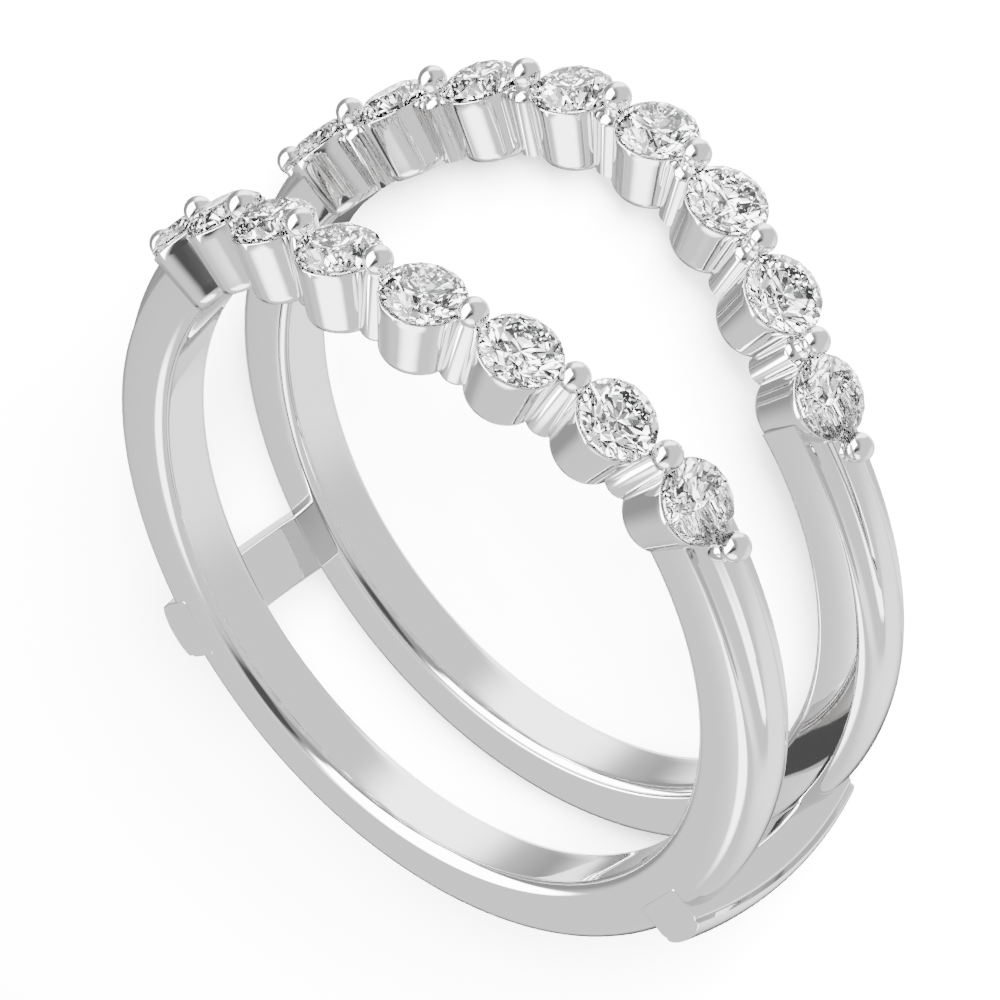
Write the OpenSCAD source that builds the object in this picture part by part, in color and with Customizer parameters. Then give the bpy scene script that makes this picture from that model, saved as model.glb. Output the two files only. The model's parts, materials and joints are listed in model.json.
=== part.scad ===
// Ring guard enhancer: two bands that clasp a solitaire ring between them.
// Each band carries a row of round stones in cups with a beaded post at every joint,
// and the two rows bow apart over the top to make room for the solitaire's head.
// The ring is drawn lying on its side, tilted as it comes to rest, in millimetres.

/* [Bands] */
// Inside diameter of the ring, the finger size
bore_d = 17.3; // [16:0.1:19]
// Width of each band along the finger
band_w = 1.74; // [1.6:0.02:1.9]
// Thickness of each band, from the finger to its crest
band_t = 1.8; // [1.7:0.05:1.9]
// Height of the rounded crest over the flat sides
dome_h = 0.5; // [0.4:0.05:0.6]
// Radius of the rounded edges against the finger
bore_edge_r = 0.3; // [0.2:0.05:0.4]
// Distance from the ring's middle plane to the middle of each straight band
band_z = 2.31; // [2.2:0.01:2.5]

/* [Rows] */
// Number of stones in each row
stones_per_row = 8; // [6:1:10]
// Angle between neighbouring stones, seen along the finger
stone_pitch = 14.3; // [14:0.1:14.6]
// How far the middle of a row stands out past its straight band
row_bow = 2.0; // [1.8:0.05:2.2]
// Angle past its end bead at which a row has come back in line with its band
bow_past = 5.3; // [4:0.1:6]

/* [Stones] */
// Diameter of each stone at its girdle
stone_d = 2.04; // [1.9:0.01:2.1]
// Height of the girdle above the finger
girdle_h = 1.78; // [1.7:0.01:1.85]
// Thickness of the girdle
girdle_t = 0.07; // [0.04:0.01:0.1]
// Width of the table as a share of the stone's diameter
table_share = 0.57; // [0.53:0.01:0.6]
// Slope of the crown's main facets, in degrees
crown_angle = 34.5; // [32:0.5:36]
// Slope of the pavilion's main facets, in degrees
pavilion_angle = 41; // [40:0.5:42]
// Clearance between a stone and its seat
seat_gap = 0.02; // [0.02:0.01:0.04]

/* [Cups] */
// Outside diameter of a cup at its rim
cup_rim_d = 2.12; // [2.1:0.01:2.2]
// Outside diameter of a cup at its foot
cup_foot_d = 1.86; // [1.8:0.02:2]
// Height of the rim above the finger
cup_h = 1.7; // [1.6:0.01:1.75]
// Width of the bevelled edge round a cup's foot
cup_edge = 0.27; // [0.2:0.01:0.3]

/* [Posts] */
// Diameter of the bead on top of each post
bead_d = 0.71; // [0.65:0.01:0.8]
// Height of the bead's middle above the finger
bead_h = 2.035; // [1.95:0.005:2.1]
// Diameter of a post just under its bead
post_neck_d = 0.66; // [0.6:0.01:0.7]
// Diameter of a post at its foot
post_foot_d = 0.92; // [0.8:0.02:1]

/* [Bridge bars] */
// Angle of each bar from the top, seen along the finger
bar_angle = 126.4; // [122:0.2:130]
// Width of a bar round the ring
bar_w = 1.63; // [1.5:0.01:1.8]
// Height of a bar's inner face above the finger, midway between the bands
bar_lift = 1.51; // [1.4:0.01:1.6]
// Thickness of a bar at its middle
bar_t = 1.19; // [1:0.01:1.3]
// Height of the rounded crown over a bar's straight sides
bar_crown = 0.28; // [0.2:0.02:0.36]
// Radius of the arch of a bar's inner face, from band to band
bar_arch_r = 9.16; // [8.8:0.02:9.6]

/* [Hidden] */
$fn = 96;

// The solids are drawn about the finger's axis, which is Z, with the stones towards +Y.
// Angles round the ring are measured from +Y towards +X.
bore_r = bore_d / 2;
band_r = bore_r + band_t;
side_r = band_r - dome_h;
metal = [0.86, 0.86, 0.87];
clear = [0.93, 0.96, 0.99];

function stone_angle(i) = (i - (stones_per_row + 1) / 2) * stone_pitch;
function post_angle(k) = (k - stones_per_row / 2) * stone_pitch;

// The row's middle line leaves its straight band as a raised cosine
bow_reach = post_angle(stones_per_row) + bow_past;
function row_z(a) = band_z + (abs(a) < bow_reach ? row_bow * pow(cos(90 * a / bow_reach), 2) : 0);
// Its slope against the band, in degrees, at the height of the finger
function row_slope(a) = atan(-row_bow * 90 / bow_reach * sin(180 * a / bow_reach) / bore_r);

// Points of an arc in the plane of a profile, from angle a to angle b
function arc(x, y, rx, ry, a, b, n) =
    [for (i = [0 : n]) [x + rx * cos(a + (b - a) * i / n), y + ry * sin(a + (b - a) * i / n)]];

// Half the extent of an ellipse towards a direction at angle a from its first axis
function reach(rx, ry, a) = sqrt(pow(rx * cos(a), 2) + pow(ry * sin(a), 2));

// Feet start a little inside the finger's surface, and are then trimmed to it
foot_sink = 0.07;
foot_r = bore_r - foot_sink;
past = 0.5;

// The ring lies on its rear side, on its two middle cups and the bottom of its rear band.
// With the tilt t, the depth of a cup's foot edge and of the band's edge below the axis:
rest_angle = stone_pitch / 2;
function cup_depth(t) = (row_z(rest_angle) + cup_foot_d / 2) * cos(t)
    - (foot_r + cup_edge) * cos(rest_angle) * sin(t);
function band_depth(t) = band_z * cos(t) + side_r * sin(t) + reach(band_w / 2, dome_h, t);
// The tilt is where both depths are the same, found by halving the angle between two limits
function level(low, high, n) = n == 0 ? (low + high) / 2
    : cup_depth((low + high) / 2) > band_depth((low + high) / 2) ? level((low + high) / 2, high, n - 1)
    : level(low, (low + high) / 2, n - 1);
rest_tilt = level(0, 20, 24);
rest_lift = band_depth(rest_tilt);
// The origin is under the middle of the ring's length, from the top bead to the bottom of the band
top_end = (bore_r + bead_h) * cos(rest_tilt) + row_z(0) * sin(rest_tilt) + bead_d / 2;
bottom_end = side_r * cos(rest_tilt) + band_z * sin(rest_tilt) + reach(dome_h, band_w / 2, rest_tilt);
rest_shift = (bottom_end - top_end) / 2;

// Lays the ring on the floor
module laid_down() {
    translate([0, rest_shift, rest_lift]) rotate([rest_tilt, 0, 0]) children();
}

// Puts a shape on a row: its Z points outwards from the finger, its Y along the finger
module on_row(angle, side) {
    translate([0, 0, side * row_z(angle)]) rotate([0, 0, -angle]) rotate([-90, 0, 0]) children();
}

// Section of a band: a flat bore with rounded edges, flat sides and an elliptic crest
band_section = concat(
    arc(bore_r + bore_edge_r, bore_edge_r - band_w / 2, bore_edge_r, bore_edge_r, 180, 270, 3),
    arc(side_r, 0, dome_h, band_w / 2, -90, 90, 12),
    arc(bore_r + bore_edge_r, band_w / 2 - bore_edge_r, bore_edge_r, bore_edge_r, 90, 180, 3)
);

// A scoop beside the crest, deepest near the last cup, that runs straight out of the band
scoop_r = 0.31;
scoop_offset = 0.71;
scoop_past = 8;
scoop_angle = stone_angle(stones_per_row) + scoop_past;
scoop_rise = 0.16;
scoop_axis_r = band_r - scoop_rise;
scoop_l = 12;

module scoop(half, edge) {
    rotate([0, 0, -half * scoop_angle])
        translate([-scoop_l / 2, scoop_axis_r, edge * scoop_offset])
            rotate([0, 90, 0]) cylinder(h = scoop_l, r = scoop_r);
}

// One band, from inside its last cup on one side, round the bottom, to the other
band_start = stone_angle(stones_per_row) - 0.5;

module band(side) {
    translate([0, 0, side * band_z]) difference() {
        rotate([0, 0, 90 + band_start])
            rotate_extrude(angle = 360 - 2 * band_start) polygon(band_section);
        for (half = [-1, 1], edge = [-1, 1]) scoop(half, edge);
    }
}

// The floor that joins two neighbouring cups under their post
link_l = 1.5;
link_w = 1.0;
link_h = 0.6;
link_r = foot_r - 0.03;

module link(angle, side) {
    on_row(angle, side) rotate([0, 0, side * row_slope(angle)])
        translate([-link_l / 2, -link_w / 2, link_r]) cube([link_l, link_w, link_h]);
}

cup_profile = [
    [0, foot_r],
    [cup_foot_d / 2 - cup_edge, foot_r],
    [cup_foot_d / 2, foot_r + cup_edge],
    [cup_rim_d / 2, bore_r + cup_h],
    [0, bore_r + cup_h]
];

module cup(angle, side) {
    on_row(angle, side) rotate_extrude($fn = 64) polygon(cup_profile);
}

// A post narrows from its foot to the bead on its top
bead_r = bead_d / 2;
bead_z = bore_r + bead_h;
neck_z = bead_z - sqrt(pow(bead_r, 2) - pow(post_neck_d / 2, 2));

module post(angle, side) {
    on_row(angle, side) {
        translate([0, 0, foot_r]) cylinder(h = neck_z - foot_r, d1 = post_foot_d, d2 = post_neck_d);
        translate([0, 0, bead_z]) sphere(bead_r);
    }
}

// Heights of a stone's parts above the ring's axis
stone_r = stone_d / 2;
table_r = stone_r * table_share;
girdle_low = bore_r + girdle_h - girdle_t / 2;
girdle_top = bore_r + girdle_h + girdle_t / 2;
table_z = girdle_top + (stone_r - table_r) * tan(crown_angle);
culet_z = girdle_low - stone_r * tan(pavilion_angle);

// A seat is the stone's outline, turned about its axis and grown by the clearance
seat_r = stone_r + seat_gap;
seat_profile = [
    [0, girdle_low - seat_gap - seat_r * tan(pavilion_angle)],
    [seat_r, girdle_low - seat_gap],
    [seat_r, girdle_top + seat_gap],
    [table_r, table_z + seat_gap],
    [table_r, table_z + past],
    [0, table_z + past]
];

module seat(angle, side) {
    on_row(angle, side) rotate_extrude($fn = 64) polygon(seat_profile);
}

// A bar arches from band to band on the outside of the ring, with a rounded crown
bar_axis_r = bore_r + bar_lift - bar_arch_r;
bar_out_r = bar_arch_r + bar_t;
bar_crown_r = (pow(bar_w / 2, 2) + pow(bar_crown, 2)) / (2 * bar_crown);
bar_crown_angle = asin(bar_w / 2 / bar_crown_r);
bar_section = concat(
    [[bar_arch_r, bar_w / 2], [bar_arch_r, -bar_w / 2]],
    arc(bar_out_r - bar_crown_r, 0, bar_crown_r, bar_crown_r, -bar_crown_angle, bar_crown_angle, 6)
);
// The bar's ends stand a hair proud of the bands' outer faces
bar_proud = 0.015;
bar_half = band_z + band_w / 2 + bar_proud;

module bar(half) {
    rotate([0, 0, -half * bar_angle]) intersection() {
        translate([0, bar_axis_r, 0]) rotate([0, 90, 0]) rotate([0, 0, 45])
            rotate_extrude(angle = 90) polygon(bar_section);
        translate([-bar_w, 0, -bar_half]) cube([2 * bar_w, 2 * band_r, 2 * bar_half]);
    }
}

// One row: cups, posts and the floor between them, cut away inside for the finger.
// Its feet stand back from the finger by a hair, so that the bands alone bear on it.
foot_relief = 0.02;

module row(side) {
    difference() {
        union() {
            for (i = [1 : stones_per_row]) cup(stone_angle(i), side);
            for (k = [0 : stones_per_row]) post(post_angle(k), side);
            for (k = [1 : stones_per_row - 1]) link(post_angle(k), side);
        }
        translate([0, 0, -2 * bar_half]) cylinder(h = 4 * bar_half, r = bore_r + foot_relief);
    }
}

// The soldered metal: rows, bands and bars, cut for the stones
module guard_frame() {
    color(metal) laid_down() difference() {
        union() {
            for (side = [-1, 1]) row(side);
            for (side = [-1, 1]) band(side);
            for (half = [-1, 1]) bar(half);
        }
        for (side = [-1, 1], i = [1 : stones_per_row]) seat(stone_angle(i), side);
    }
}

// Rings of points of a round brilliant, each n points from angle a at radius r and height z
function ring(n, r, z, a) = [for (j = [0 : n - 1]) [r * cos(a + 360 * j / n), r * sin(a + 360 * j / n), z]];

// Star facets reach halfway from the table's edge to the girdle, and lower facets most of the
// way from the girdle to the culet
mains = 8;
lower_share = 0.23;
star_r = (table_r * cos(180 / mains) + stone_r) / 2;
star_z = table_z - (star_r * cos(180 / mains) - table_r) * tan(crown_angle);
lower_r = stone_r * lower_share;
lower_z = culet_z + lower_r * cos(180 / mains) * tan(pavilion_angle);
stone_points = concat(
    ring(mains, table_r, table_z, 0),
    ring(mains, star_r, star_z, 180 / mains),
    ring(2 * mains, stone_r, girdle_top, 0),
    ring(2 * mains, stone_r, girdle_low, 0),
    ring(mains, lower_r, lower_z, 180 / mains),
    [[0, 0, culet_z]]
);
// Places of the rings' points in that list: table, star, upper and lower girdle, lower facets
function t_(i) = i % mains;
function s_(i) = mains + (i + mains) % mains;
function g_(j) = 2 * mains + j % (2 * mains);
function h_(j) = 4 * mains + j % (2 * mains);
function p_(i) = 6 * mains + (i + mains) % mains;
culet = 7 * mains;
stone_faces = concat(
    [[for (i = [mains - 1 : -1 : 0]) t_(i)]],
    [for (i = [0 : mains - 1]) each [
        [t_(i), t_(i + 1), s_(i)],
        [t_(i), s_(i), g_(2 * i), s_(i - 1)],
        [s_(i), g_(2 * i + 1), g_(2 * i)],
        [s_(i), g_(2 * i + 2), g_(2 * i + 1)],
        [h_(2 * i), h_(2 * i + 1), p_(i)],
        [h_(2 * i + 1), h_(2 * i + 2), p_(i)],
        [h_(2 * i), p_(i), culet, p_(i - 1)]
    ]],
    [for (j = [0 : 2 * mains - 1]) [g_(j), g_(j + 1), h_(j + 1), h_(j)]]
);

module brilliant() {
    polyhedron(points = stone_points, faces = stone_faces);
}

module stone(i, side) {
    color(clear) laid_down() on_row(stone_angle(i), side) brilliant();
}

module front_stone(i) {
    stone(i, 1);
}

module rear_stone(i) {
    stone(i, -1);
}

guard_frame();
for (i = [1 : stones_per_row]) {
    front_stone(i);
    rear_stone(i);
}
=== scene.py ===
"""Ring guard enhancer for Blender 4.5: polished bands, cups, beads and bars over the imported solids, and a studio.

Lengths are in metres. The shapes are worked out about the finger's axis, with the stones towards +Y,
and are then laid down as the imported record's finger hole lies. Angles run from +Y towards +X.
"""

import json
import math

import bpy
import numpy as np
from bpy.props import FloatProperty, FloatVectorProperty, IntProperty, PointerProperty
from mathutils import Matrix, Quaternion, Vector


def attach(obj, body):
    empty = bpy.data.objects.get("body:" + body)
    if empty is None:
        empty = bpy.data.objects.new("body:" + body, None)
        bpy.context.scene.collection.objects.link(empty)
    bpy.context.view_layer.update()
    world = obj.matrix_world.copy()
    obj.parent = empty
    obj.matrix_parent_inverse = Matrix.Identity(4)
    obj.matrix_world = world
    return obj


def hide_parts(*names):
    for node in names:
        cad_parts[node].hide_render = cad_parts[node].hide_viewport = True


bl_info = {
    "name": "Ring guard",
    "version": (1, 0, 0),
    "blender": (4, 5, 0),
    "location": "View3D > Sidebar > Ring guard",
    "description": "Builds a polished ring guard with two bowed rows of stones, and a studio for it",
    "category": "Add Mesh",
}

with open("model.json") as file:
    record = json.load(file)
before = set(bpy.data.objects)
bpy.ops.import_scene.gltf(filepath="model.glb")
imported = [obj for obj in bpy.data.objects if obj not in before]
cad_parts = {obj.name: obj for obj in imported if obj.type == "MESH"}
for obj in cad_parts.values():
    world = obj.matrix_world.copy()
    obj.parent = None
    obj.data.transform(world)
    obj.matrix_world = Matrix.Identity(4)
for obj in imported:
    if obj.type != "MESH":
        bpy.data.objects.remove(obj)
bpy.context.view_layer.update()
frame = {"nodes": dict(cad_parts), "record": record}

MM = 0.001
TURN = 2 * math.pi


# Property groups


def length(name, description, mm):
    """A length property with a default in millimetres."""
    return FloatProperty(
        name=name, description=description, default=mm * MM, min=0.0, precision=5, subtype="DISTANCE", unit="LENGTH"
    )


def angle(name, description, degrees):
    """An angle property with a default in degrees."""
    return FloatProperty(
        name=name, description=description, default=math.radians(degrees), subtype="ANGLE", unit="ROTATION"
    )


def count(name, description, number):
    """A whole number property."""
    return IntProperty(name=name, description=description, default=number, min=3)


def tint(name, description, hex_code):
    """A colour property with an sRGB hex default, turned to linear: each of red, green and blue, as a share
    of 255, is divided by 12.92 when dark, and otherwise has 0.055 added, is divided by 1.055 and is raised
    to the power of 2.4. The fourth number is the alpha."""
    srgb = np.array([int(hex_code[i : i + 2], 16) for i in (1, 3, 5)]) / 255
    linear = np.where(srgb <= 0.04045, srgb / 12.92, ((srgb + 0.055) / 1.055) ** 2.4)
    return FloatVectorProperty(
        name=name, description=description, default=(*linear.tolist(), 1.0), size=4, min=0.0, max=1.0, subtype="COLOR"
    )


class RingGuardBands(bpy.types.PropertyGroup):
    """Sizes of the two bands"""

    bore: length("Bore", "Radius of the finger hole", 8.65)
    width: length("Width", "Width of a band along the finger", 1.74)
    thickness: length("Thickness", "Height of the crest over the finger", 1.8)
    dome: length("Dome", "Height of the rounded crest over the flat sides", 0.5)
    edge: length("Edge", "Radius of the rounded edges against the finger", 0.3)
    offset: length("Offset", "Distance from the ring's middle plane to a straight band's middle", 2.31)
    scoop: length("Scoop radius", "Radius of the channels beside the crest", 0.33)
    scoop_offset: length("Scoop offset", "Distance of a channel from the band's middle", 0.66)
    scoop_rise: length("Scoop rise", "How far the channels' centre lies under the crest at the last cup", 0.15)
    scoop_angle: angle("Scoop angle", "Where the channels run level with the crest", 56)
    scoop_swing: length("Scoop swing", "How much wider the channels' path is than the band", 2.9)
    soft: length("Soft", "Softness of the channels' edges", 0.045)
    steps: count("Steps", "Steps round a band", 300)


class RingGuardRows(bpy.types.PropertyGroup):
    """Sizes of the rows of cups, posts and stones"""

    stones: count("Stones", "Stones in a row", 8)
    pitch: angle("Pitch", "Angle between neighbouring stones", 14.3)
    bow: length("Bow", "How far the middle of a row stands out past its band", 2.0)
    reach: angle("Reach", "Angle at which a row has come back in line with its band", 62.5)
    pavilion: angle("Pavilion", "Slope of a stone's lower side", 41)
    rim: length("Rim", "Radius of a cup's rim", 1.06)
    foot: length("Foot", "Radius of a cup's foot", 0.93)
    height: length("Cup height", "Height of a cup's rim over the finger", 1.7)
    edge: length("Cup edge", "Radius of the rounded edge of a cup's foot", 0.28)
    bead: length("Bead", "Radius of a bead", 0.37)
    bead_height: length("Bead height", "Height of a bead's centre over the finger", 2.035)
    neck: length("Neck", "Radius of a post under its bead", 0.325)
    post: length("Post", "Radius of a post at its foot", 0.47)
    shelf: length("Shelf", "Radius of the filling behind a post", 0.40)
    shelf_shift: length("Shelf shift", "How far the filling stands towards the other row", 0.12)
    floor_width: length("Floor width", "Half the width of the floor between the cups", 0.3)
    floor_height: length("Floor height", "Height of the floor between the cups", 0.5)
    sides: count("Sides", "Sides of a cup or post", 72)


class RingGuardBars(bpy.types.PropertyGroup):
    """Sizes of the two bridge bars"""

    place: angle("Place", "Angle of a bar from the middle of the rows", 126.4)
    width: length("Width", "Width of a bar round the ring", 1.63)
    lift: length("Lift", "Height of a bar's inner face over the finger, midway between the bands", 1.51)
    thickness: length("Thickness", "Thickness of a bar at its middle", 1.19)
    crown: length("Crown", "Height of the rounded crown over the sides", 0.28)
    arch: length("Arch", "Radius of the inner face from band to band", 9.16)
    proud: length("Proud", "How far the bar's ends stand out of the bands' sides", 0.006)
    steps: count("Steps", "Steps along a bar", 64)


class RingGuardColours(bpy.types.PropertyGroup):
    """Colours of the metal, the stones, the floor and the light"""

    metal: tint("Metal", "Colour of the plated and polished metal", "#C9C8C7")
    stone: tint("Stone", "Colour of the light that a stone lets through", "#FFFFFF")
    gloss: tint("Gloss", "How much of the light a stone's surface throws back", "#7B7B7B")
    paper: tint("Paper", "Colour of the floor", "#FAFAFA")
    light: tint("Light", "Colour of the tent's light", "#F7F8FA")


class RingGuardStudio(bpy.types.PropertyGroup):
    """Camera, floor and light"""

    camera: FloatVectorProperty(
        name="Camera",
        description="Where the camera stands",
        default=(50.93 * MM, 59.52 * MM, 71.15 * MM),
        precision=5,
        subtype="TRANSLATION",
        unit="LENGTH",
    )
    target: FloatVectorProperty(
        name="Target",
        description="The point that the camera looks at",
        default=(-0.223 * MM, 0.192 * MM, 4.04 * MM),
        precision=5,
        subtype="TRANSLATION",
        unit="LENGTH",
    )
    roll: angle("Roll", "How far the camera is rolled about its view", -122.22)
    lens: FloatProperty(name="Lens", description="Focal length", default=148.69, min=1.0, subtype="DISTANCE_CAMERA")
    floor: length("Floor", "Half the width of the floor", 900)
    room: FloatProperty(
        name="Room", description="Brightness of the tent where it has no panel", default=1.8, min=0.0
    )
    panels: FloatProperty(name="Panels", description="Brightness of the tent's panels", default=1.0, min=0.0)
    patches: FloatProperty(
        name="Patches", description="How fine the patches of light are that the stones catch", default=7.0, min=0.0
    )
    distance: length("Distance", "How far the lights stand from the ring", 400)


# Shapes: each is (points, faces), with faces a list of whole arrays of corners


def arc(centre, radii, start, end, steps):
    """Points of an ellipse's arc: centre plus the radii times the cosine and sine of an even run of angles."""
    a = np.radians(np.linspace(start, end, steps + 1))
    return np.column_stack([centre[0] + radii[0] * np.cos(a), centre[1] + radii[1] * np.sin(a)])


def path(*pieces):
    """One line of points from several, without points that repeat."""
    line = np.concatenate([np.atleast_2d(p) for p in pieces])
    keep = np.ones(len(line), bool)
    keep[1:] = np.linalg.norm(np.diff(line, axis=0), axis=1) > 1e-9
    return line[keep]


def revolved(profile, sides):
    """Turns a profile about Z. A point at radius r and height z goes round as (r cos t, r sin t, z).
    The profile starts and ends on the axis, and both poles are closed with triangles."""
    t = np.arange(sides) * TURN / sides
    r, z = profile[1:-1, 0], profile[1:-1, 1]
    rings = np.stack([np.outer(r, np.cos(t)), np.outer(r, np.sin(t)), np.repeat(z[:, None], sides, 1)], -1)
    points = np.concatenate([[[0, 0, profile[0, 1]]], rings.reshape(-1, 3), [[0, 0, profile[-1, 1]]]])
    index = 1 + np.arange(len(r) * sides).reshape(len(r), sides)
    turned = np.roll(index, -1, 1)
    quads = np.stack([index[:-1], turned[:-1], turned[1:], index[1:]], -1).reshape(-1, 4)
    low = np.stack([np.zeros(sides, int), turned[0], index[0]], -1)
    high = np.stack([np.full(sides, len(points) - 1), index[-1], turned[-1]], -1)
    return points, [quads, low, high]


def tube(grid):
    """Closes a grid of sections, one to a row, into a solid: quads between neighbouring sections, and a
    fan of triangles to the middle of the first and the last."""
    rows, n = grid.shape[:2]
    index = np.arange(rows * n).reshape(rows, n)
    turned = np.roll(index, -1, 1)
    quads = np.stack([index[:-1], index[1:], turned[1:], turned[:-1]], -1).reshape(-1, 4)
    points = np.concatenate([grid.reshape(-1, 3), [grid[0].mean(0)], [grid[-1].mean(0)]])
    first = np.stack([np.full(n, rows * n), index[0], turned[0]], -1)
    last = np.stack([np.full(n, rows * n + 1), turned[-1], index[-1]], -1)
    return points, [quads, first, last]


def merged(shapes):
    """One shape from several: points one after another, and corners moved up to match."""
    starts = np.cumsum([0] + [len(s[0]) for s in shapes[:-1]])
    faces = [f + start for s, start in zip(shapes, starts) for f in s[1]]
    return np.concatenate([s[0] for s in shapes]), faces


def mirrored(shape):
    """The shape's mirror image across the ring's middle plane, with its faces turned to match."""
    points, faces = shape
    return points * (1, 1, -1), [f[:, ::-1] for f in faces]


def row_offset(turn, bands, rows):
    """Distance of a row's middle line from the ring's middle plane: the band's own distance, plus within the
    reach the bow times the squared cosine of a quarter turn's share."""
    rise = np.where(np.abs(turn) < rows.reach, np.cos(0.25 * TURN * turn / rows.reach) ** 2, 0.0)
    return bands.offset + rows.bow * rise


def round_ring(radial, along, turn):
    """Points at a radius from the finger's axis, a distance along it and an angle round it: X is the radius
    times the angle's sine, Y the radius times its cosine, and Z the distance."""
    return np.stack(np.broadcast_arrays(radial * np.sin(turn), radial * np.cos(turn), along), -1)


def on_row(shape, turn, bands, rows):
    """Puts a shape on the front row: its Z points away from the finger, its Y to the other row."""
    points, faces = shape
    x, y, z = points.T
    placed = np.column_stack([x * math.cos(turn) + z * math.sin(turn), z * math.cos(turn) - x * math.sin(turn), -y])
    placed[:, 2] += float(row_offset(turn, bands, rows))
    return placed, faces


def bored(shape, bore):
    """Trims a shape for the finger: a point nearer the axis than the bore moves straight out to it."""
    points, faces = shape
    radius = np.hypot(points[:, 0], points[:, 1])
    points = points.copy()
    points[:, :2] *= np.maximum(1.0, bore / np.maximum(radius, 1e-9))[:, None]
    return points, faces


def stone_turns(rows):
    """Angles of the stones of a row."""
    return (np.arange(rows.stones) - (rows.stones - 1) / 2) * rows.pitch


def post_turns(rows):
    """Angles of the posts of a row, one between any two stones and one at each end."""
    return (np.arange(rows.stones + 1) - rows.stones / 2) * rows.pitch


def band_shape(bands, rows):
    """The front band, from inside its last cup round the bottom to the other last cup.
    Each section has a flat bore with rounded edges, flat sides and an elliptic crest. Towards the rows the
    crest is the lower of that ellipse and of two circles, whose centre is on a wider, offset circle round
    the ring, so that two channels open beside a central rib and rise out of the band further on. The lower
    of the two heights is taken softly: half their sum, less the root of half their difference squared plus
    the softness squared."""
    half, low, high = bands.width / 2, bands.bore, bands.bore + bands.thickness
    side = high - bands.dome
    # Shares of half the width: close together at the sides, where the crest turns down, and in the channels
    shoulder = [0.97, 0.985, 0.995, 1.0]
    channel, rib = np.linspace(0.39, 0.95, 36), np.linspace(-0.375, 0.375, 22)
    across = np.concatenate([np.negative(shoulder[::-1]), -channel[::-1], rib, channel, shoulder])
    along = across * half
    crest = side + bands.dome * np.sqrt(np.maximum(0.0, 1 - across**2))

    tuck, crowding = math.radians(0.6), 0.0625
    start = float(stone_turns(rows)[-1]) + tuck
    even = np.linspace(0, 1, bands.steps)
    # The sections lie closest beside the rows, where the channels open, and at the bottom
    turn = start + (TURN - 2 * start) * (even - crowding * np.sin(2 * TURN * even))
    from_top = np.minimum(turn, TURN - turn)

    orbit = high - bands.scoop_rise + bands.scoop_swing
    swing = from_top - bands.scoop_angle
    centre = -bands.scoop_swing * np.cos(swing) + np.sqrt(orbit**2 - (bands.scoop_swing * np.sin(swing)) ** 2)
    off = np.abs(np.abs(along) - bands.scoop_offset)[None, :]
    bowl = centre[:, None] - np.sqrt(np.maximum(0.0, bands.scoop**2 - off**2))
    # Outside its circle a channel's wall goes on up, steeply
    wall = 3.0
    bowl = bowl + wall * np.maximum(0.0, off - bands.scoop)
    height = (crest + bowl) / 2 - np.sqrt(((crest - bowl) / 2) ** 2 + bands.soft**2)

    e = bands.edge
    left = arc((low + e, e - half), (e, e), 180, 270, 10)
    right = arc((low + e, half - e), (e, e), 90, 180, 10)
    flat = np.column_stack([np.full(5, low), np.linspace(half - e, e - half, 7)[1:-1]])
    rest = np.concatenate([right, flat, left])
    n = len(turn)
    radial = np.concatenate([height, np.repeat(rest[None, :, 0], n, 0)], 1)
    z = np.concatenate([np.repeat(along[None], n, 0), np.repeat(rest[None, :, 1], n, 0)], 1)
    return tube(round_ring(radial, bands.offset + z, turn[:, None]))


def floor_shape(bands, rows):
    """The floor that joins the cups of the front row: an oblong section with rounded corners, carried along
    the row's line. It ends just short of the middle of the first and the last post."""
    half, top, e = rows.floor_width, bands.bore + rows.floor_height, 0.12 * MM
    short, sections = math.radians(2), 161
    section = path(
        arc((bands.bore + e, e - half), (e, e), 180, 270, 4),
        arc((top - e, e - half), (e, e), 270, 360, 4),
        arc((top - e, half - e), (e, e), 0, 90, 4),
        arc((bands.bore + e, half - e), (e, e), 90, 180, 4),
    )
    turn = np.linspace(-1, 1, sections)[:, None] * float(post_turns(rows)[-1] - short)
    return tube(round_ring(section[None, :, 0], row_offset(turn, bands, rows) + section[None, :, 1], turn))


def cup_shape(bands, rows):
    """A cup about its own axis: a rounded foot, a wall that widens to a thin rim, and a cone for the stone.
    The cone falls from the rim by the stone's slope, so its point lies under the rim by the rim's inner
    radius times the tangent of that slope. The foot is sunk past the bore, and is trimmed to it later."""
    sunk, rim, lip = 0.07 * MM, 0.075 * MM, 0.02 * MM
    foot, e, top = bands.bore - sunk, rows.edge, bands.bore + rows.height
    inner = rows.rim - rim
    apex = top - inner * math.tan(rows.pavilion)
    # Points half-way in on the foot and on the cone keep their faces from growing long
    flat, slope = 0.5 * (rows.foot - e), 0.6 * inner
    wall = np.column_stack([np.linspace(rows.foot, rows.rim, 8), np.linspace(foot + e, top - lip, 8)])[1:-1]
    profile = path(
        (0, foot),
        (flat, foot),
        arc((rows.foot - e, foot + e), (e, e), -90, 0, 12),
        wall,
        arc((rows.rim - lip, top - lip), (lip, lip), 0, 90, 4),
        arc((inner + lip, top - lip), (lip, lip), 90, 150, 3),
        (slope, apex + slope * math.tan(rows.pavilion)),
        (0, apex),
    )
    return revolved(profile, rows.sides)


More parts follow.
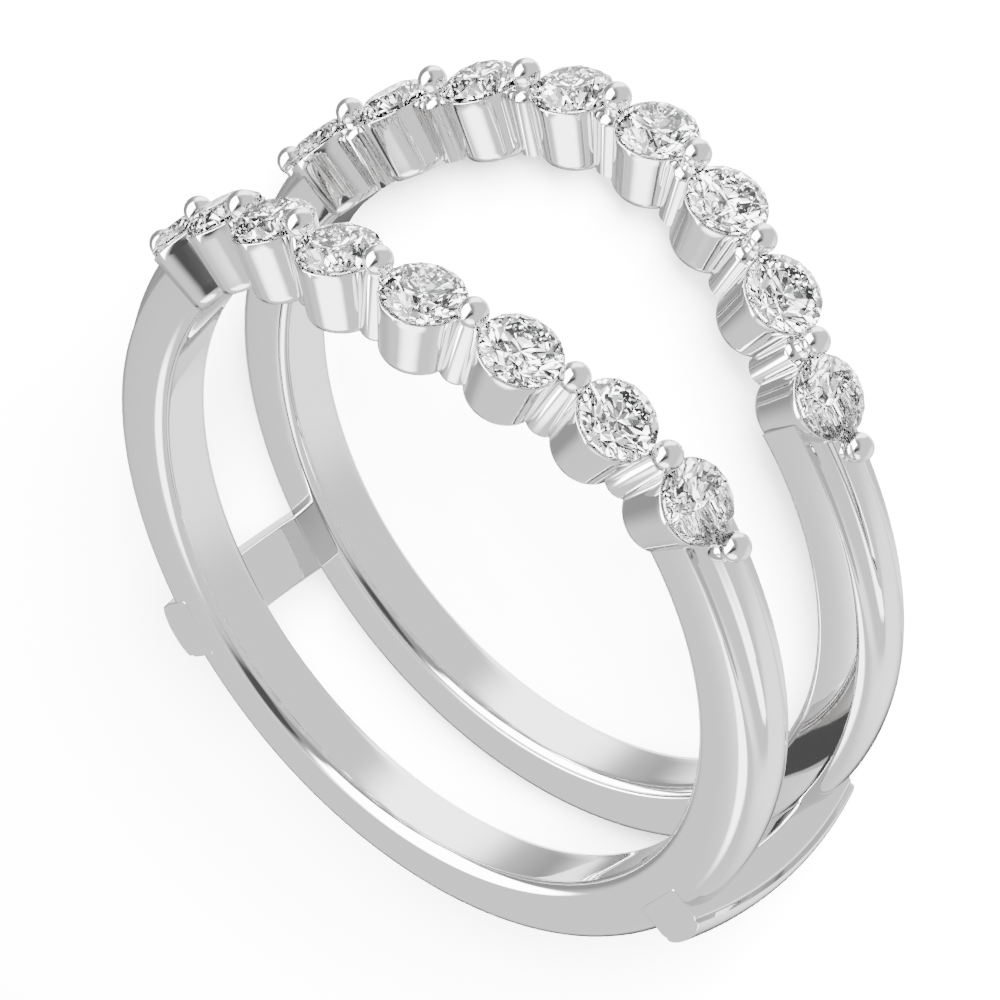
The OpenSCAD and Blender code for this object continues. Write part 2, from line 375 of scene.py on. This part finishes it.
def post_shape(bands, rows):
    """A post about its own axis: a rounded foot, a shaft that narrows upwards, and a round bead. The shaft
    meets the bead's sphere where the sphere is as wide as the neck, at the angle whose sine is neck over bead."""
    sunk, e = 0.03 * MM, 0.16 * MM
    foot, centre = bands.bore - sunk, bands.bore + rows.bead_height
    under = math.asin(rows.neck / rows.bead)
    neck = centre - rows.bead * math.cos(under)
    # How far below the bead the shaft is wider or narrower than its neck, and by how much
    below = np.array([0.22, 0.1, 0.03]) * MM
    wider = np.array([0.025, 0.006, -0.004]) * MM
    profile = path(
        (0, foot),
        arc((rows.post - e, foot + e), (e, e), -90, 0, 8),
        np.column_stack([rows.neck + wider, neck - below]),
        arc((0, centre), (rows.bead, rows.bead), math.degrees(under) - 90, 90, 26),
    )
    return revolved(profile, rows.sides)


def shelf_shape(bands, rows):
    """The filling behind a post: an upright cylinder whose top rounds up to the bead from under the rims, as
    a quarter of an ellipse turned about the axis."""
    sunk, rise, dome = 0.07 * MM, 0.04 * MM, 0.3 * MM
    foot, top = bands.bore - sunk, bands.bore + rows.height + rise
    profile = path((0, foot), (rows.shelf, foot), arc((0, top - dome), (rows.shelf, dome), 0, 90, 16))
    points, faces = revolved(profile, rows.sides)
    return points + (0, rows.shelf_shift, 0), faces


def bar_shape(bands, bars):
    """The right-hand bar: a section with a rounded crown, each point of which runs from band to band on its
    own circle about a line across the bar: at z along the bar, its height over that line is the root of the
    circle's radius squared less z squared. The ends are cut flat, with a fine bevel."""
    out = bars.arch + bars.thickness
    half, crown, inner, outer = bars.width / 2, bars.crown, 0.08 * MM, 0.16 * MM
    # The outer corners turn by one angle, and the crown spans another to either side of the middle, both in
    # degrees. The crown's ellipse is narrower than the bar by a share of what the corner's turn leaves
    corner, crest, share = 62, 74, 0.9
    crown_width = half - share * outer * (1 - math.sin(math.radians(corner)))
    section = path(
        arc((bars.arch + inner, half - inner), (inner, inner), 90, 180, 5),
        arc((bars.arch + inner, inner - half), (inner, inner), 180, 270, 5),
        arc((out - crown - outer, outer - half), (outer, outer), 270, 270 + corner, 6),
        arc((out - crown, 0), (crown, crown_width), -crest, crest, 22),
        arc((out - crown - outer, half - outer), (outer, outer), 90 - corner, 90, 6),
    )

    # Near an end the section shrinks towards its middle by the bevel
    bevel = 0.02 * MM
    reach = bands.offset + bands.width / 2 + bars.proud
    even = np.linspace(-1, 1, bars.steps) * (reach - bevel)
    ends = reach - bevel * np.array([0.0, 0.0, 0.3])
    shrink = bevel * np.array([2.0, 1.0, 0.3])
    along = np.concatenate([-ends, even, ends[::-1]])
    inset = np.concatenate([shrink, np.zeros(bars.steps), shrink[::-1]])
    middle = section.mean(0)
    arm = section - middle
    shrunk = middle + arm[None] * (1 - inset[:, None, None] / np.linalg.norm(arm, axis=1)[None, :, None])

    axis = bands.bore + bars.lift - bars.arch
    radial = axis + np.sqrt(shrunk[..., 0] ** 2 - along[:, None] ** 2)
    across = shrunk[..., 1]
    c, s = math.cos(bars.place), math.sin(bars.place)
    z = np.broadcast_to(along[:, None], radial.shape)
    points, faces = tube(np.stack([radial * s + across * c, radial * c - across * s, z], -1))
    return points, [f[:, ::-1] for f in faces]


# Objects


def lay_down(points):
    """Turns and moves points so that the finger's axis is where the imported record's finger hole has it."""
    hole = next(m for m in frame["record"]["mounts"] if m["name"] == "finger_bore")
    tilt = math.atan2(-hole["axis"][1], hole["axis"][2])
    turn = np.array(Matrix.Rotation(tilt, 3, "X"))
    return points @ turn.T + hole["pos_m"]


def outward(points, faces):
    """The faces, all turned over if they enclose a negative volume."""
    volume = 0.0
    for f in faces:
        for k in range(1, f.shape[1] - 1):
            a, b, c = points[f[:, 0]], points[f[:, k]], points[f[:, k + 1]]
            volume += np.einsum("ij,ij->i", a, np.cross(b, c)).sum()
    return faces if volume > 0 else [f[:, ::-1] for f in faces]


def add_metal(name, shapes):
    """Adds a piece of polished metal that stands for the frame's solid, smooth but for edges over 30 degrees."""
    points, faces = merged([(p, outward(p, f)) for p, f in shapes])
    mesh = bpy.data.meshes.new(name)
    mesh.from_pydata(lay_down(points).tolist(), [], [face for f in faces for face in f.tolist()])
    mesh.polygons.foreach_set("use_smooth", np.ones(len(mesh.polygons), bool))
    mesh.set_sharp_from_angle(angle=math.radians(30))
    mesh.validate()
    piece = bpy.data.objects.new(name, mesh)
    bpy.context.scene.collection.objects.link(piece)
    piece.data.materials.append(material("White gold, cast and polished", white_gold))
    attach(piece, "root")
    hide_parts("guard_frame")
    return piece


# Materials


def node(tree, kind, links=(), **settings):
    """Adds a shader node, sets its properties or its inputs' values, and links inputs to other nodes' outputs."""
    made = tree.nodes.new(kind)
    for key, value in settings.items():
        name = key.replace("_", " ")
        if name in made.inputs:
            made.inputs[name].default_value = value
        else:
            setattr(made, key, value)
    for name, source in dict(links).items():
        tree.links.new(source, made.inputs[name])
    return made


def material(name, build):
    """The named material, built once in the scene's colours."""
    found = bpy.data.materials.get(name)
    if found is None:
        found = bpy.data.materials.new(name)
        found.use_nodes = True
        found.node_tree.nodes.clear()
        build(found.node_tree, bpy.context.scene.ring_guard_colours)
    return found


def white_gold(tree, colours):
    """Rhodium-plated white gold, cast and hand-polished: a near-white mirror, hazier in some spots than in
    others, and faintly wavy. Nine spots of haze come to a centimetre and seven waves to half of one, so
    that about two of each lie across a band."""
    haze_size, wave_size = 10 / 9 * MM, 5 / 7 * MM
    place = node(tree, "ShaderNodeTexCoord").outputs["Object"]
    haze = node(tree, "ShaderNodeTexNoise", {"Vector": place}, Scale=1 / haze_size, Detail=3.0)
    shine = node(
        tree,
        "ShaderNodeMapRange",
        {"Value": haze.outputs["Fac"]},
        From_Min=0.3,
        From_Max=0.7,
        To_Min=0.02,
        To_Max=0.05,
    )
    wave = node(tree, "ShaderNodeTexNoise", {"Vector": place}, Scale=1 / wave_size, Detail=1.0)
    relief = node(tree, "ShaderNodeBump", {"Height": wave.outputs["Fac"]}, Strength=0.012, Distance=0.1 * MM)
    surface = node(
        tree,
        "ShaderNodeBsdfPrincipled",
        {"Roughness": shine.outputs["Result"], "Normal": relief.outputs["Normal"]},
        Base_Color=colours.metal,
        Metallic=1.0,
    )
    node(tree, "ShaderNodeOutputMaterial", {"Surface": surface.outputs["BSDF"]})


def brilliant(tree, colours):
    """Colourless stone, cut and polished: clear, with the strong bending of light that makes facets flash.
    The tent's mirror image on the facets is darkened, so that what they gather from inside shows."""
    surface = node(
        tree,
        "ShaderNodeBsdfPrincipled",
        Base_Color=colours.stone,
        Roughness=0.0,
        IOR=2.42,
        Transmission_Weight=1.0,
        Specular_Tint=colours.gloss,
    )
    node(tree, "ShaderNodeOutputMaterial", {"Surface": surface.outputs["BSDF"]})


def paper(tree, colours):
    """White paper, smooth and coated: an even white, with a faint sheen."""
    surface = node(tree, "ShaderNodeBsdfPrincipled", Base_Color=colours.paper, Roughness=0.18)
    node(tree, "ShaderNodeOutputMaterial", {"Surface": surface.outputs["BSDF"]})


# Studio


# The tent's axis: azimuth from +Y towards +X and elevation, in degrees
TENT = (215, 19)
# Its panels, each laid over those before: corners as turns about the axis and leans from it, both in
# degrees, the softness of the edges in degrees, and the brightness
PANELS = (
    (((150, 10), (150, 100), (235, 88), (240, 20)), 14, 0.62),
    (((246, 5), (254, 60), (304, 60), (308, 5)), 9, 0.2),
    (((300, 70), (300, 130), (350, 125), (355, 75)), 14, 3.4),
    (((228, 68), (232, 118), (285, 110), (275, 62)), 12, 6.0),
    (((248, 44), (246, 76), (296, 76), (300, 44)), 7, 0.25),
    (((168, 112), (188, 140), (238, 142), (250, 105), (215, 98)), 9, 7.0),
    (((52, 88), (62, 118), (85, 132), (120, 150), (160, 128), (150, 70), (104, 80)), 14, 0.7),
    (((77, 15), (75, 60), (66, 95), (84, 116), (98, 85), (92, 40)), 5, 0.16),
    (((14, 38), (17, 64), (40, 76), (64, 66), (71, 42), (66, 18)), 6, 9.0),
    (((112, 113), (168, 103), (150, 45), (95, 15), (97, 70)), 2.5, 26.0),
)

# The darkest and the brightest patch of light that the stones catch, as powers of ten
PATCHES = (-2.0, 1.9)


def direction(azimuth, elevation):
    """The direction at an azimuth and an elevation in degrees."""
    a, e = math.radians(azimuth), math.radians(elevation)
    return Vector((math.sin(a) * math.cos(e), math.cos(a) * math.cos(e), math.sin(e)))


def on_tent(turn, lean):
    """The direction at a turn about the tent's axis, from the level towards the top, and a lean from the axis."""
    axis = direction(*TENT)
    level = Vector((0, 0, 1)).cross(axis).normalized()
    turn, lean = math.radians(turn), math.radians(lean)
    across = level * math.cos(turn) + axis.cross(level) * math.sin(turn)
    return axis * math.cos(lean) + across * math.sin(lean)


def tent(tree, studio, colours):
    """A tent of white and grey panels round the ring, seen only in reflections. A panel fills the directions
    on the inner side of each plane through two neighbouring corners, with soft edges: its cover is the
    product of one smooth step for each plane. Light that has passed through a stone comes from small
    patches instead, each of one brightness between the darkest and the brightest, which give the facets
    crisp contrast."""
    seen = node(tree, "ShaderNodeTexCoord").outputs["Generated"]
    level = node(tree, "ShaderNodeValue").outputs["Value"]
    level.default_value = studio.room
    for corners, soft, brightness in PANELS:
        corners = [on_tent(*corner) for corner in corners]
        middle = sum(corners, Vector())
        spread = math.sin(math.radians(soft))
        cover = None
        for first, second in zip(corners, corners[1:] + corners[:1]):
            plane = first.cross(second).normalized()
            side = node(tree, "ShaderNodeVectorMath", {"Vector": seen}, operation="DOT_PRODUCT")
            side.inputs[1].default_value = plane if plane.dot(middle) > 0 else -plane
            edge = node(
                tree,
                "ShaderNodeMapRange",
                {"Value": side.outputs["Value"]},
                interpolation_type="SMOOTHSTEP",
                From_Min=-spread,
                From_Max=spread,
            ).outputs["Result"]
            if cover is None:
                cover = edge
            else:
                both = node(tree, "ShaderNodeMath", operation="MULTIPLY")
                tree.links.new(cover, both.inputs[0])
                tree.links.new(edge, both.inputs[1])
                cover = both.outputs["Value"]
        over = node(tree, "ShaderNodeMix", {"Factor": cover, "A": level}, B=brightness * studio.panels)
        level = over.outputs["Result"]
    cells = node(tree, "ShaderNodeTexVoronoi", {"Vector": seen}, Scale=studio.patches)
    share = node(tree, "ShaderNodeSeparateColor", {"Color": cells.outputs["Color"]})
    darkest, brightest = PATCHES
    power = node(tree, "ShaderNodeMapRange", {"Value": share.outputs["Red"]}, To_Min=darkest, To_Max=brightest)
    patch = node(tree, "ShaderNodeMath", operation="POWER")
    patch.inputs[0].default_value = 10.0
    tree.links.new(power.outputs["Result"], patch.inputs[1])
    ray = node(tree, "ShaderNodeLightPath").outputs["Is Transmission Ray"]
    strength = node(tree, "ShaderNodeMix", {"Factor": ray, "A": level, "B": patch.outputs["Value"]}).outputs["Result"]
    background = node(tree, "ShaderNodeBackground", {"Strength": strength}, Color=colours.light)
    node(tree, "ShaderNodeOutputWorld", {"Surface": background.outputs["Background"]})


# The floor's lights: name, azimuth from +Y towards +X and elevation in degrees, width in metres, power in watts
LIGHTS = (
    ("key", 36, 30, 0.16, 62.0),
    ("fill", 28, 84, 0.70, 5.4),
)


def soft_box(scene, studio, name, azimuth, elevation, width, power):
    """Adds a square soft box that faces the ring and lights the floor, and isn't seen in the metal."""
    away = direction(azimuth, elevation)
    lamp = bpy.data.lights.new(name, "AREA")
    lamp.size, lamp.energy = width, power
    light = bpy.data.objects.new(name, lamp)
    light.location = away * studio.distance
    light.rotation_mode = "QUATERNION"
    light.rotation_quaternion = away.to_track_quat("Z", "Y")
    light.visible_glossy = light.visible_transmission = False
    scene.collection.objects.link(light)


# Operators


class RINGGUARD_OT_bands(bpy.types.Operator):
    """Add the two bands"""

    bl_idname = "ring_guard.bands"
    bl_label = "Bands"

    def execute(self, context):
        bands, rows = context.scene.ring_guard_bands, context.scene.ring_guard_rows
        shape = band_shape(bands, rows)
        add_metal("front_band", [shape])
        add_metal("rear_band", [mirrored(shape)])
        return {"FINISHED"}


class RINGGUARD_OT_cups(bpy.types.Operator):
    """Add the cups of both rows, and the floors that join them"""

    bl_idname = "ring_guard.cups"
    bl_label = "Cups"

    def execute(self, context):
        bands, rows = context.scene.ring_guard_bands, context.scene.ring_guard_rows
        cup = cup_shape(bands, rows)
        shapes = [bored(on_row(cup, float(t), bands, rows), bands.bore) for t in stone_turns(rows)]
        shapes.append(floor_shape(bands, rows))
        add_metal("front_cups", shapes)
        add_metal("rear_cups", [mirrored(s) for s in shapes])
        return {"FINISHED"}


class RINGGUARD_OT_posts(bpy.types.Operator):
    """Add the posts of both rows, with their beads and the filling behind them"""

    bl_idname = "ring_guard.posts"
    bl_label = "Posts"

    def execute(self, context):
        bands, rows = context.scene.ring_guard_bands, context.scene.ring_guard_rows
        post, shelf = post_shape(bands, rows), shelf_shape(bands, rows)
        turns = [float(t) for t in post_turns(rows)]
        shapes = [on_row(post, t, bands, rows) for t in turns]
        shapes += [on_row(shelf, t, bands, rows) for t in turns[1:-1]]
        shapes = [bored(s, bands.bore) for s in shapes]
        add_metal("front_posts", shapes)
        add_metal("rear_posts", [mirrored(s) for s in shapes])
        return {"FINISHED"}


class RINGGUARD_OT_bars(bpy.types.Operator):
    """Add the two bridge bars"""

    bl_idname = "ring_guard.bars"
    bl_label = "Bars"

    def execute(self, context):
        points, faces = bar_shape(context.scene.ring_guard_bands, context.scene.ring_guard_bars)
        add_metal("bridge_bars", [(points, faces), (points * (-1, 1, 1), [f[:, ::-1] for f in faces])])
        return {"FINISHED"}


class RINGGUARD_OT_stones(bpy.types.Operator):
    """Give the stones their material"""

    bl_idname = "ring_guard.stones"
    bl_label = "Stones"

    def execute(self, context):
        for name, stone in frame["nodes"].items():
            if name != "guard_frame":
                stone.data.materials.clear()
                stone.data.materials.append(material("Colourless stone, brilliant cut", brilliant))
                stone.data.polygons.foreach_set("use_smooth", np.zeros(len(stone.data.polygons), bool))
        return {"FINISHED"}


class RINGGUARD_OT_studio(bpy.types.Operator):
    """Add the floor, the lights and the camera"""

    bl_idname = "ring_guard.studio"
    bl_label = "Studio"

    def execute(self, context):
        studio = context.scene.ring_guard_studio
        half = studio.floor
        corners = [(-half, -half, 0), (half, -half, 0), (half, half, 0), (-half, half, 0)]
        mesh = bpy.data.meshes.new("floor")
        mesh.from_pydata(corners, [], [(0, 1, 2, 3)])
        floor = bpy.data.objects.new("floor", mesh)
        floor.data.materials.append(material("White paper", paper))
        floor.visible_glossy = floor.visible_transmission = False
        context.scene.collection.objects.link(floor)

        world = bpy.data.worlds.new("Studio")
        world.use_nodes = True
        world.node_tree.nodes.clear()
        tent(world.node_tree, studio, context.scene.ring_guard_colours)
        world.cycles_visibility.diffuse = False
        # Light is turned back more than four times inside a cut stone, Blender's default, before it comes out
        context.scene.cycles.glossy_bounces = 12
        context.scene.world = world
        for light in LIGHTS:
            soft_box(context.scene, studio, *light)

        camera = bpy.data.objects.new("camera", bpy.data.cameras.new("camera"))
        camera.data.lens = studio.lens
        camera.data.clip_start = 1 * MM
        camera.location = studio.camera
        view = (Vector(studio.target) - Vector(studio.camera)).to_track_quat("-Z", "Y")
        camera.rotation_mode = "QUATERNION"
        camera.rotation_quaternion = view @ Quaternion((0, 0, 1), studio.roll)
        context.scene.collection.objects.link(camera)
        context.scene.camera = camera
        return {"FINISHED"}


class RINGGUARD_PT_panel(bpy.types.Panel):
    """Lists the pieces of the ring guard"""

    bl_idname = "RINGGUARD_PT_panel"
    bl_label = "Ring guard"
    bl_space_type = "VIEW_3D"
    bl_region_type = "UI"
    bl_category = "Ring guard"

    def draw(self, context):
        for operator in OPERATORS:
            self.layout.operator(operator.bl_idname)


GROUPS = {
    "ring_guard_bands": RingGuardBands,
    "ring_guard_rows": RingGuardRows,
    "ring_guard_bars": RingGuardBars,
    "ring_guard_colours": RingGuardColours,
    "ring_guard_studio": RingGuardStudio,
}
OPERATORS = (
    RINGGUARD_OT_bands,
    RINGGUARD_OT_cups,
    RINGGUARD_OT_posts,
    RINGGUARD_OT_bars,
    RINGGUARD_OT_stones,
    RINGGUARD_OT_studio,
)


def register():
    """Registers the classes and hangs the property groups on the scene."""
    for group in (*GROUPS.values(), *OPERATORS, RINGGUARD_PT_panel):
        bpy.utils.register_class(group)
    for name, group in GROUPS.items():
        setattr(bpy.types.Scene, name, PointerProperty(type=group))


def unregister():
    """Undoes register."""
    for name in GROUPS:
        delattr(bpy.types.Scene, name)
    for group in (RINGGUARD_PT_panel, *reversed(OPERATORS), *reversed(GROUPS.values())):
        bpy.utils.unregister_class(group)


def main():
    """Builds every piece and the studio."""
    register()
    for operator in (
        bpy.ops.ring_guard.bands,
        bpy.ops.ring_guard.cups,
        bpy.ops.ring_guard.posts,
        bpy.ops.ring_guard.bars,
        bpy.ops.ring_guard.stones,
        bpy.ops.ring_guard.studio,
    ):
        operator()
    bpy.context.view_layer.update()


if __name__ == "__main__":
    main()
